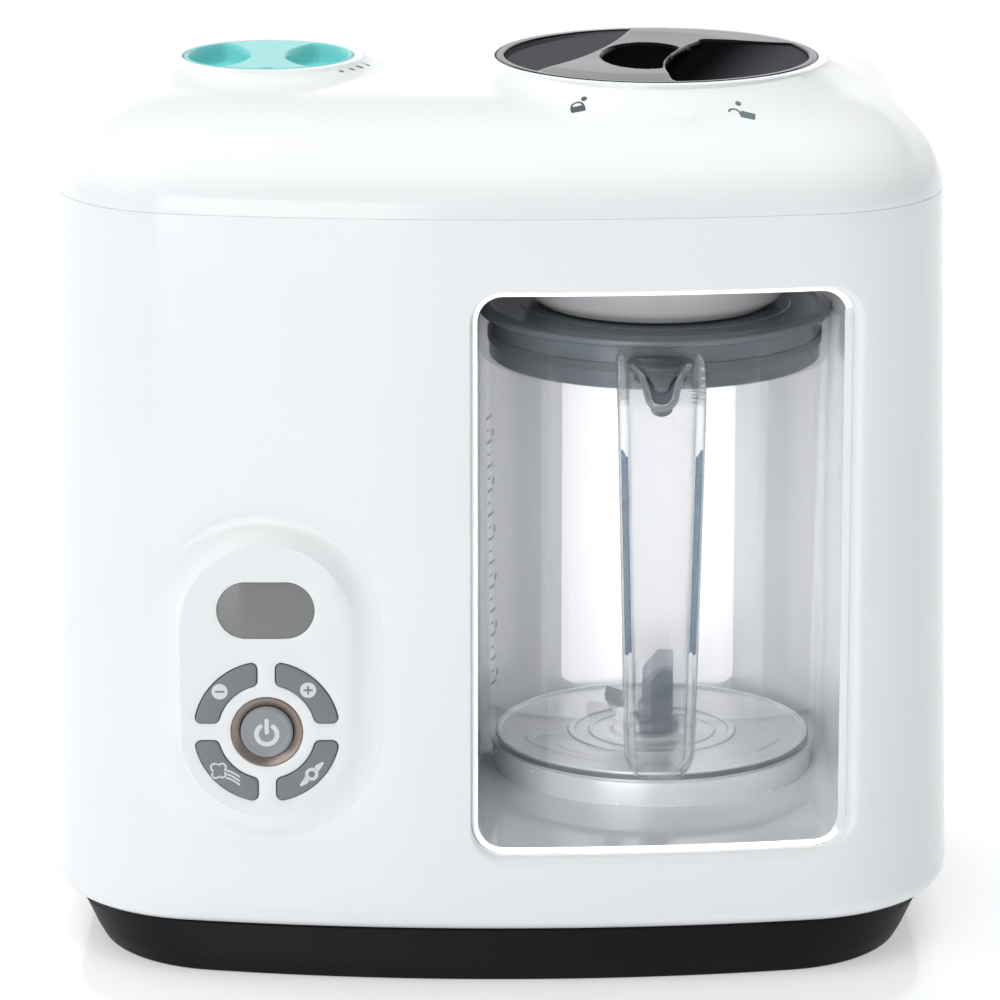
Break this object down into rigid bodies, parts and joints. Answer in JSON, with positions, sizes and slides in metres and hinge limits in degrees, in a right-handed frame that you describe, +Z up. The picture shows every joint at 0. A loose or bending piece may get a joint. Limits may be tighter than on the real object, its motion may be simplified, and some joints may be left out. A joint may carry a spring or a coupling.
{
  "type": "baby food steamer blender",
  "caption": "Countertop baby food steamer and blender: a clear jug with a blade stands in a niche under a locking steam head, beside a water filler cap and a key panel.",
  "frame": {"origin": "middle of the footprint on the table", "axes": "+X to the right as seen from the front, +Y to the back, +Z up"},
  "size_m": [0.285, 0.188, 0.2795],
  "materials": {
    "white_gloss": "glossy moulded",
    "niche_white": "satin moulded",
    "charcoal": "fine texture",
    "black_gloss": "polished",
    "teal_gloss": "glossy moulded",
    "key_grey": "satin",
    "display_grey": "polished window",
    "clear_plastic": "clear polished plastic",
    "lid_grey": "glossy moulded",
    "head_grey": "satin moulded",
    "steel": "plain",
    "bright_steel": "polished",
    "bronze": "sintered",
    "board_green": "board lacquer",
    "black_rubber": "matt",
    "silicone": "matt",
    "nylon": "natural"
  },
  "bodies": {
    "housing": {"base_tray": "charcoal", "rubber_feet": "black_rubber", "case_screws": "steel", "front_panel": "white_gloss", "rear_shell": "white_gloss", "top_cover": "white_gloss", "niche_liner": "niche_white", "niche_back_panel": "niche_white", "control_bezel": "white_gloss", "display_window": "display_grey", "control_board": "board_green", "board_parts": "charcoal", "power_ring": "charcoal", "lift_guide": "nylon", "water_tank": "nylon", "boiler_plate": "steel", "heater_ring": "steel", "thermostat": "charcoal", "boiler_cradle": "charcoal", "steam_pipe": "nylon", "motor_bracket": "steel", "motor_can": "steel", "motor_magnets": "charcoal", "motor_cap": "charcoal", "motor_bushes": "bronze", "drive_belt": "black_rubber", "bearing_carrier": "charcoal", "drive_bush": "bronze", "cord_gland": "black_rubber"},
    "dial": {"lock_dial": "black_gloss", "cam_sleeve": "nylon", "dial_screws": "steel", "sleeve_clip": "steel"},
    "head": {"steam_head": "head_grey", "lift_pins": "steel", "head_gasket": "silicone"},
    "bung": {"cap_bung": "nylon", "cap_seal": "silicone"},
    "cap": {"water_cap": "teal_gloss"},
    "jug": {"jug": "clear_plastic", "jug_handle": "clear_plastic", "jug_base": "bright_steel", "jug_seal": "silicone", "jug_lid": "lid_grey", "lid_gasket": "silicone", "blade_bush": "bronze"},
    "blade": {"blade_shaft": "steel", "blade_coupling": "charcoal", "chopping_blade": "bright_steel"},
    "drive": {"drive_shaft": "steel", "drive_pulley": "charcoal", "drive_dog": "charcoal"},
    "rotor": {"motor_rotor": "steel", "motor_fan": "nylon", "motor_pulley": "steel"},
    "minus": {"minus_key": "key_grey"},
    "plus": {"plus_key": "key_grey"},
    "steam": {"steam_key": "key_grey"},
    "blend": {"blend_key": "key_grey"},
    "power": {"power_key": "key_grey"}
  },
  "joints": [
    {"name": "dial_turn", "type": "hinge", "parent": "housing", "child": "dial", "pos_m": [0.05, 0.004, 0.272], "axis": [0, 0, 1], "range_deg": [0, 50]},
    {"name": "head_lift", "type": "slide", "parent": "housing", "child": "head", "axis": [0, 0, 1], "range_m": [0, 0.006]},
    {"name": "cap_lift", "type": "slide", "parent": "housing", "child": "bung", "axis": [0, 0, 1], "range_m": [0, 0.045]},
    {"name": "cap_turn", "type": "hinge", "parent": "bung", "child": "cap", "pos_m": [-0.074, 0.004, 0.272], "axis": [0, 0, 1], "range_deg": [0, 60]},
    {"name": "jug_pull", "type": "slide", "parent": "housing", "child": "jug", "axis": [0, -1, 0], "range_m": [0, 0.17]},
    {"name": "blade_spin", "type": "hinge", "parent": "jug", "child": "blade", "pos_m": [0.05, 0.004, 0.055], "axis": [0, 0, 1], "continuous": true},
    {"name": "drive_spin", "type": "hinge", "parent": "housing", "child": "drive", "pos_m": [0.05, 0.004, 0.03], "axis": [0, 0, 1], "continuous": true},
    {"name": "motor_spin", "type": "hinge", "parent": "housing", "child": "rotor", "pos_m": [-0.072, 0.024, 0.07], "axis": [0, 0, 1], "continuous": true},
    {"name": "minus_press", "type": "slide", "parent": "housing", "child": "minus", "axis": [0, 1, 0], "range_m": [0, 0.001], "stiffness_N_per_m": 400, "springref_m": -0.001},
    {"name": "plus_press", "type": "slide", "parent": "housing", "child": "plus", "axis": [0, 1, 0], "range_m": [0, 0.001], "stiffness_N_per_m": 400, "springref_m": -0.001},
    {"name": "steam_press", "type": "slide", "parent": "housing", "child": "steam", "axis": [0, 1, 0], "range_m": [0, 0.001], "stiffness_N_per_m": 400, "springref_m": -0.001},
    {"name": "blend_press", "type": "slide", "parent": "housing", "child": "blend", "axis": [0, 1, 0], "range_m": [0, 0.001], "stiffness_N_per_m": 400, "springref_m": -0.001},
    {"name": "power_press", "type": "slide", "parent": "housing", "child": "power", "axis": [0, 1, 0], "range_m": [0, 0.001], "stiffness_N_per_m": 400, "springref_m": -0.001}
  ],
  "couplings": [
    {"joint": "head_lift", "follows": "dial_turn", "m_per_rad": 0.0068755},
    {"joint": "blade_spin", "follows": "drive_spin", "ratio": 1},
    {"joint": "motor_spin", "follows": "drive_spin", "ratio": 3}
  ]
}
